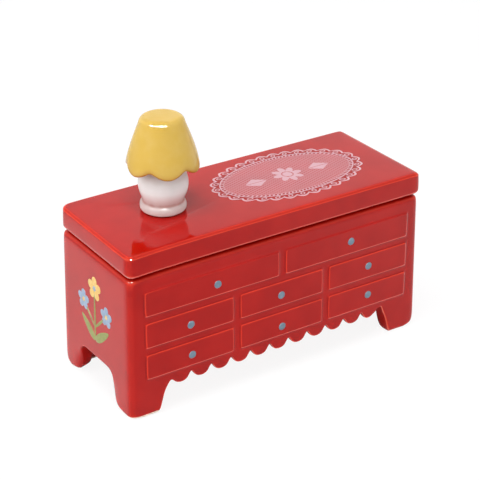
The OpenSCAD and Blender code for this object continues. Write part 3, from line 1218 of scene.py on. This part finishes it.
shade_outline = [(0, shade_top), (3, shade_top), (crown_r - crown_round - 0.8, shade_top)]
for degrees in (90, 68, 46, 24):
    angle = math.radians(degrees)
    shade_outline.append((crown_r - crown_round + crown_round * math.cos(angle),
                          shoulder_z + crown_round * math.sin(angle)))
for step in range(side_steps + 1):
    share = 1 - step / side_steps
    shade_outline.append((hem_r + (crown_r - hem_r) * share ** side_curve,
                          hem_z + (shoulder_z - hem_z) * share))
rolled_hem = ((0.15, -0.55), (0.6, -0.95), (1.3, -1.0), (hem_t, -0.5), (hem_t + 0.4, 1.0))
shade_outline += [(hem_r - inset, hem_z + rise) for inset, rise in rolled_hem]
shade_outline += [(hem_r - hem_t - 1.2, shade_ceiling), (neck_r + 0.6, shade_ceiling + 0.4),
                  (neck_r + socket_clear, shade_ceiling + 1.2),
                  (neck_r + socket_clear, neck_top - socket_rise),
                  (neck_r - neck_bevel, socket_top), (0, socket_top)]

shade_bm = bmesh.new()
shade_pooled_and_shaded = shade_bm.verts.layers.float.new("pooled_and_shaded_glaze")
add_lathed(shade_bm, shade_outline, shade_turns)
for vert in shade_bm.verts:
    flat = Vector((vert.co.x, vert.co.y, 0))
    if flat.length < 1:
        continue
    # The hem and the inside of the shade darken to ochre: pooled glaze and painted shade.
    if vert.co.z < hem_z + NEAR or (vert.co.z < shade_ceiling and flat.length < hem_r - hem_t):
        in_hem = vert.co.z < hem_z - NEAR or flat.length < hem_r - hem_side
        vert[shade_pooled_and_shaded] = 1.0 if in_hem else 0.3
    angle = math.atan2(vert.co.y, vert.co.x)
    share = min(1.0, max(0.0, (vert.co.z - hem_z) / (shoulder_z - hem_z)))
    crease = (1 - share) * (1 - lobe(angle))
    if flat.length > neck_r + 1 or vert.co.z > shoulder_z:
        vert.co -= flat.normalized() * flute_depth * crease
        vert.co.z += hem_wave * crease
bmesh.ops.translate(shade_bm, vec=lamp_axis, verts=shade_bm.verts)
finish_piece("glazed_lamp_shade", shade_bm, [yellow_glaze], "lid", ["lamp_shade"],
             subdivisions=1)

# %% [markdown]
# The knobs of the mock drawers are dots of grey-blue enamel, put on with a brush, so no two are
# quite alike, and by eye, so each slips a little from the middle of its drawer front. Each is a low
# dome, a loft of a few rings.

# %% The enamel dots
dot_r = 1.52
dot_t = 0.15
dot_points = 20
dot_slips = ((1.7, -0.5), (1.4, 0.2), (0.1, -0.7), (-0.5, -0.5),
             (0.2, 0), (0.4, -0.5), (0, -1.2), (0.4, 0.2))
dot_dome = ((0.98, -0.05), (1.0, 0.03), (0.9, 0.6 * dot_t), (0.55, dot_t))
dot_uneven = 0.09


def make_enamel(name, middle, brushed):
    """Enamel put on with a brush: streaky, a little raised, less glassy than the glaze."""
    material, places = new_finish(name)
    streaks = mottle(places, 1.2, 3.0)
    return coat(material, streaks.fade(0.35, 0.7).tint(middle, brushed), 0.25 + streaks * 0.15,
                ripples(places, streaks, 0.5, 0.03))


dot_enamel = make_enamel("dot_enamel_finish", paint(111, 133, 150), paint(128, 146, 160))
dots_bm = bmesh.new()
for number, (left, right, bottom, top) in enumerate(drawer_fronts()):
    aside, up = dot_slips[number]
    middle = Vector(((left + right) / 2 + aside, 0, (bottom + top) / 2 + up))
    middle.y = flare_y * lean_share(middle.z) - foot_half_y - drawer_relief
    spread = []
    for step in range(dot_points):
        angle = 2 * math.pi * step / dot_points
        way = Vector((math.cos(angle), 0, math.sin(angle)))
        uneven = 1 + dot_uneven * noise.noise(way * 1.1 + Vector((number * 7.3, 0, 0)))
        spread.append(way * dot_r * uneven)
    add_loft(dots_bm, [[middle + reach * share + Vector((0, -rise, 0)) for reach in spread]
                       for share, rise in dot_dome])
finish_piece("enamel_dots", dots_bm, [dot_enamel], "box", ["drawer_dots"])

# %% [markdown]
# The lace mat on the lid is a transfer: a pattern printed in pale pink and fired into the glaze. It
# has no thickness to speak of, so the lace is drawn by its finish, from the distance to the edge of
# the oval and the place along it. Between the threads the same red glaze shows. The pattern is a
# plain one: scallops with loops, a row of holes, a net and a rosette. Each thread has a distance
# from the edge of the oval and a width.

# %% The lace finish
doily_low, doily_high = box_mm("doily_transfer")
doily_x = (doily_low.x + doily_high.x) / 2
doily_y = (doily_low.y + doily_high.y) / 2
doily_wave = 0.8
doily_a = (doily_high.x - doily_low.x) / 2 - doily_wave
doily_b = (doily_high.y - doily_low.y) / 2 - doily_wave
doily_scallops = 30
even_out = 0.117
oval_length = math.pi * (doily_a + doily_b) * 1.015
scallop_len = oval_length / doily_scallops
lace_pink = paint(217, 180, 190)
thread_soft = 0.09
edge_in, edge_w = 0.42, 0.82
loop_in, loop_r, loop_w = 1.6, 0.85, 0.44
rail_in, rail_w = 3.1, 0.5
bars_in, bars_w, bars_per_scallop = 3.85, 1.2, 3
inner_rail_in, inner_rail_w = 4.55, 0.36
field_in = 4.5
net_pitch = 1.2
net_slant = 0.25
rosette_r, petal_r, ring_in_rosette = 3.4, 2.9, 2.2
lozenge_x, lozenge_half_x, lozenge_half_y = 14.5, 5.2, 3.4


def thread(distance, width):
    """1 on a thread of a width, by the distance from its middle line."""
    return distance.math("ABSOLUTE").fade(width / 2 + thread_soft, width / 2 - thread_soft)


def lace_motif(x, y):
    """A rosette in the middle and a lozenge at each side."""
    from_middle = (x * x + y * y).math("SQRT")
    petals = rosette_r + petal_r * (y.math("ARCTAN2", x) * 4).math("COSINE").math("ABSOLUTE")
    ring = thread(from_middle - ring_in_rosette, 0.5)
    rosette = (petals - from_middle).fade(-0.15, 0.2) * (1 - ring)
    across = ((x.math("ABSOLUTE") - lozenge_x) / lozenge_half_x).math("ABSOLUTE")
    lozenge = (1 - across - y.math("ABSOLUTE") / lozenge_half_y).fade(-0.03, 0.06)
    return rosette.math("MAXIMUM", lozenge * (1 - thread(y, 0.35) * 0.8)) * 0.86


def lace_net(x, y, inward):
    """The net inside the border: threads along and across, a little slanted."""
    round_per_mm = 2 * math.pi / net_pitch
    warp = ((x + y * net_slant) * round_per_mm).math("SINE").fade(-0.75, 0.85)
    weft = ((y - x * net_slant) * round_per_mm).math("SINE").fade(-0.2, 1.0) * 0.75
    return inward.fade(field_in, field_in + 0.1) * (0.09 + 0.39 * warp.math("MAXIMUM", weft))


def lace_mask(places):
    """How much pink thread covers the glaze, from 0 to 1, and where the border has its gaps."""
    x, y, _ = axes(places)
    x = x / MM - doily_x
    y = y / MM - doily_y
    u = x / doily_a
    v = y / doily_b
    reach = (u * u + v * v).math("SQRT")
    slope = ((u / doily_a) * (u / doily_a) + (v / doily_b) * (v / doily_b)).math("SQRT")
    inward = (1 - reach) * reach / slope
    angle = v.math("ARCTAN2", u)
    turn = (angle - (angle * 2).math("SINE") * even_out) * (doily_scallops / (2 * math.pi))
    along = (turn.math("FRACT") - 0.5) * scallop_len
    arc = (along.math("ABSOLUTE") * (math.pi / scallop_len)).math("COSINE")
    from_edge = inward + arc * (2 * doily_wave) - doily_wave
    from_loop = (along * along + (inward - loop_in) * (inward - loop_in)).math("SQRT")
    bars = (turn * bars_per_scallop).math("FRACT").fade(0.44, 0.36)
    lines = thread(from_edge - edge_in, edge_w)
    for part, share in ((thread(from_loop - loop_r, loop_w), 0.9),
                        (thread(inward - rail_in, rail_w), 0.9),
                        (bars * thread(inward - bars_in, bars_w), 0.85),
                        (thread(inward - inner_rail_in, inner_rail_w), 0.6)):
        lines = lines.math("MAXIMUM", part * share)
    gaps = inward.fade(0.5, 1.0) * inward.fade(field_in + 0.1, field_in - 0.2)
    inner = lace_net(x, y, inward).math("MAXIMUM", lace_motif(x, y))
    return (lines * 0.95).math("MAXIMUM", inner), gaps


def make_lace_print():
    material, places = new_finish("lace_print_finish")
    colour, roughness, surface = red_glaze_layers(places)
    threads, gaps = lace_mask(places)
    mask = threads * (0.86 + 0.14 * mottle(places, 3))
    colour = layered(colour, ((gaps, 0.4, red_pooled_and_shade), (mask, 1.0, lace_pink)))
    return coat(material, colour, roughness + mask * 0.08, surface)


lace_print = make_lace_print()
print("lace with", doily_scallops, "scallops,", round(scallop_len, 2), "mm each")

# %% [markdown]
# The piece that carries the lace is a very thin scalloped skin that lies on the lid. A flat loft of
# two rings does for that. Its points stand evenly along the oval, so that the scallops come out
# alike.

# %% The lace mat
skin_t = 0.03
points_per_scallop = 8
evening_rounds = 8


def lace_edge(step, height):
    """A point of the scalloped outline."""
    even = 2 * math.pi * step / (doily_scallops * points_per_scallop)
    angle = even
    for _ in range(evening_rounds):
        angle = even + even_out * math.sin(2 * angle)
    wave = doily_wave * (2 * abs(math.sin(even * doily_scallops / 2)) - 1)
    outward = Vector((math.cos(angle) * doily_b, math.sin(angle) * doily_a, 0)).normalized()
    base = Vector((doily_x + doily_a * math.cos(angle), doily_y + doily_b * math.sin(angle), height))
    return base + outward * wave


mat_bm = bmesh.new()
steps = range(doily_scallops * points_per_scallop)
add_loft(mat_bm, [[lace_edge(step, lid_top + rise) for step in steps] for rise in (-skin_t, skin_t)])
lace_mat = finish_piece("lace_mat", mat_bm, [lace_print], "lid", ["doily_transfer"])
lace_mat.data.attributes.remove(lace_mat.data.attributes["thin_glaze"])
for face in lace_mat.data.polygons:
    face.use_smooth = False

# %% [markdown]
# The left end carries a small spray of flowers in enamel: one yellow flower between two blue ones,
# and two leaves. The three enamels are brushed like the dots.

# %% The flower enamels
yellow_enamel = make_enamel("yellow_enamel_finish", paint(228, 184, 96), paint(238, 204, 128))
blue_enamel = make_enamel("blue_enamel_finish", paint(138, 160, 188), paint(160, 178, 200))
green_enamel = make_enamel("green_enamel_finish", paint(134, 142, 70), paint(152, 156, 92))
YELLOW, BLUE, GREEN = 0, 1, 2
print("made the flower enamels")

# %% [markdown]
# Every stroke of the spray is a low dome of paint: an outline of one brush stroke, lofted in four
# rings. Petals, hearts, stalks and leaves are all ovals, which start at a place and run out at an
# angle.

# %% The flower spray
spray_z = 22.0
spray_h = 21.5
spray_reach = 8.5
spray_step = 8.0
top_flower_r = 4.8
side_flower_r = 4.2
petal_count = 5
petal_start, petal_len, petal_w = 0.18, 0.82, 0.74
heart_d = 0.44
stalk_w = 1.3
leaf_len = 12.5
leaf_w = 4.6
leaf_rise = math.radians(36)
paint_t = 0.1
paint_dome = ((1.0, -0.05), (0.97, 0.5 * paint_t), (0.8, 0.95 * paint_t), (0.4, paint_t))
spray_bm = bmesh.new()


def on_left_end(across, up, rise):
    """A point on the left end: across to the viewer's right, up from the ground, and off the wall."""
    return Vector((flare_x * lean_share(up) - foot_half_x - rise, -across, up))


def add_stroke(points, colour):
    """A dome of paint over an outline of (across, up) points."""
    middle = sum(points, Vector((0, 0))) / len(points)
    sections = []
    for share, rise in paint_dome:
        spots = [middle + (point - middle) * share for point in points]
        sections.append([on_left_end(spot.x, spot.y, rise) for spot in spots])
    first_new = len(spray_bm.faces)
    add_loft(spray_bm, sections)
    spray_bm.faces.ensure_lookup_table()
    for face in spray_bm.faces[first_new:]:
        face.material_index = colour


def oval(start, long, wide, angle, points=18, pointed=0.0):
    """An oval stroke that runs out from a start at an angle. Pointed narrows its far end."""
    ahead = Vector((math.cos(angle), math.sin(angle)))
    aside = Vector((-math.sin(angle), math.cos(angle)))
    outline = []
    for step in range(points):
        turn = 2 * math.pi * step / points
        out = long / 2 * (1 - math.cos(turn))
        side = wide / 2 * math.sin(turn) * (1 - pointed * out / long)
        outline.append(start + ahead * out + aside * side)
    return outline


def add_flower(middle, radius, colour, heart):
    for petal in range(petal_count):
        angle = math.pi / 2 + 2 * math.pi * petal / petal_count
        start = middle + petal_start * radius * Vector((math.cos(angle), math.sin(angle)))
        add_stroke(oval(start, petal_len * radius, petal_w * radius, angle), colour)
    heart_size = heart_d * radius
    add_stroke(oval(middle - Vector((heart_size / 2, 0)), heart_size, heart_size, 0.0, 12), heart)


def add_stalk(start, end):
    run = end - start
    add_stroke(oval(start, run.length, stalk_w, math.atan2(run.y, run.x), 14, 0.3), GREEN)


root = Vector((0, spray_z))
fork = Vector((0, spray_z + spray_h - 2 * spray_step))
top_flower = Vector((0, spray_z + spray_h))
add_stalk(root, top_flower)
for sign in (-1, 1):
    side_flower = Vector((sign * spray_reach, spray_z + spray_h - spray_step))
    add_stalk(fork, side_flower)
    angle = math.pi / 2 - sign * (math.pi / 2 - leaf_rise)
    add_stroke(oval(root, leaf_len, leaf_w, angle, 20, 0.5), GREEN)
    add_flower(side_flower, side_flower_r, BLUE, YELLOW)
add_flower(top_flower, top_flower_r, YELLOW, BLUE)
finish_piece("flower_spray", spray_bm, [yellow_enamel, blue_enamel, green_enamel], "box",
             ["flower_transfer"])

# %% [markdown]
# The stage is a plain white table. Its shader mixes matt white, which takes the shadows, with a
# glow that only the camera and reflections see. The glow is what the red glaze mirrors, so it has
# the levels that the faces of the box call for: brighter towards the window and at the right,
# darker behind and below.

# %% The table
table_size = 3.0
table_drop = 0.05
table_colour = (0.9, 0.9, 0.9, 1)
table_glow = 2.6
glow_to_camera = 0.4
glow_share = 0.86
mirror_level = 0.48
mirror_window = 0.13
mirror_right = 0.26
mirror_behind = 0.4
mirror_below = 0.1


def seen_share(start, by_camera, by_mirror):
    """A share for what the camera sees and one for what reflections see. Other light gets 0."""
    rays = start.node("ShaderNodeLightPath")
    return rays.out("Is Camera Ray") * by_camera + rays.out("Is Glossy Ray") * by_mirror


def mirrored_level(places):
    """How bright the table looks in the glaze, by the place on it in metres."""
    x, y, _ = axes(places)
    window_side = (y * 0.5 - x).fade(0.0, 0.08)
    beside_x = x.math("ABSOLUTE") - foot_half_x * MM
    beside_y = y.math("ABSOLUTE") - foot_half_y * MM
    open_table = beside_x.math("MAXIMUM", beside_y).fade(-0.006, 0.006)
    behind = (y.fade(0.03, 0.09) * x.fade(-0.1, -0.05)).math("MAXIMUM", y.fade(0.13, 0.2))
    level = mirror_level + mirror_window * window_side + mirror_right * x.fade(0.0, 0.14)
    return level * (1 - mirror_behind * behind) * (mirror_below + (1 - mirror_below) * open_table)


table_bm = bmesh.new()
bmesh.ops.create_grid(table_bm, x_segments=1, y_segments=1, size=table_size,
                      matrix=Matrix.Translation((0, 0, -table_drop * MM)))
table_mesh = bpy.data.meshes.new("table")
table_bm.to_mesh(table_mesh)
table_bm.free()
floor = add_object("table", table_mesh)

table_white, places = new_finish("table_white")
tree = table_white.node_tree
tree.nodes.remove(tree.nodes["Principled BSDF"])
level = (seen_share(places, glow_to_camera, 0.0)
         + seen_share(places, 0.0, 1.0) * mirrored_level(places))
matt = places.node("ShaderNodeBsdfDiffuse", None, {"Color": table_colour})
glow = places.node("ShaderNodeEmission", None, {
    "Color": level.tint((0, 0, 0, 1), (1, 1, 1, 1)), "Strength": table_glow})
mixed = places.node("ShaderNodeMixShader", None,
                    {0: seen_share(places, glow_share, 1.0), 1: matt, 2: glow})
feed(tree.nodes["Material Output"], {"Surface": mixed})
table_mesh.materials.append(table_white)
print("a white table", 2 * table_size, "m wide")

# %% [markdown]
# The world lights evenly from all round, and is brighter to the camera and in reflections. A window
# at the left and a soft panel above give the forms their light and shade. Two strips that only
# reflections show put the small bright dashes on the rounded edges.

# %% The world and the lamps
world_light = 0.64
world_to_camera = 0.4
world_in_mirror = 0.62
lamp_aim = Vector((0, 0, 0.06))
strip_distance = 0.9
strip_width = 0.18

world = bpy.data.worlds.new("studio")
bpy.context.scene.world = world
world.use_nodes = True
sky = Wire(world.node_tree.nodes.new("ShaderNodeTexCoord").outputs["Generated"])
brightness = world_light + seen_share(sky, world_to_camera, world_in_mirror)
feed(world.node_tree.nodes["Background"], {"Color": (1, 1, 1, 1), "Strength": brightness})


def add_panel(name, place, aim, width, height, watts):
    """A soft rectangular lamp at a place, turned to face a point."""
    light = bpy.data.lights.new(name, "AREA")
    light.shape = "RECTANGLE"
    light.size = width
    light.size_y = height
    light.energy = watts
    panel = add_object(name, light)
    facing = (aim - place).to_track_quat("-Z", "Y").to_matrix().to_4x4()
    panel.matrix_world = Matrix.Translation(place) @ facing
    return panel


add_panel("window_left", Vector((-0.48, 0.06, 0.36)), Vector((-0.03, 0, 0.05)), 0.4, 0.4, 0.75)
soft_top = add_panel("soft_top", Vector((-0.18, -0.14, 0.73)), lamp_aim, 0.4, 0.3, 2.8)
soft_top.visible_glossy = False

level_forward = level_right.cross(Vector((0, 0, 1)))
for name, aside, forward, up, length, watts in (("glint_left", -0.605, 0.36, 0.708, 0.18, 35),
                                                ("glint_right", -0.04, 0.54, 0.77, 0.60, 110)):
    way = level_right * aside + level_forward * forward + Vector((0, 0, up))
    glint = add_panel(name, strip_distance * way, lamp_aim, length, strip_width, watts)
    glint.visible_diffuse = False
bpy.context.scene.view_settings.view_transform = "Standard"
print("a window at the left, a soft panel above, and two strips for the small bright dashes")
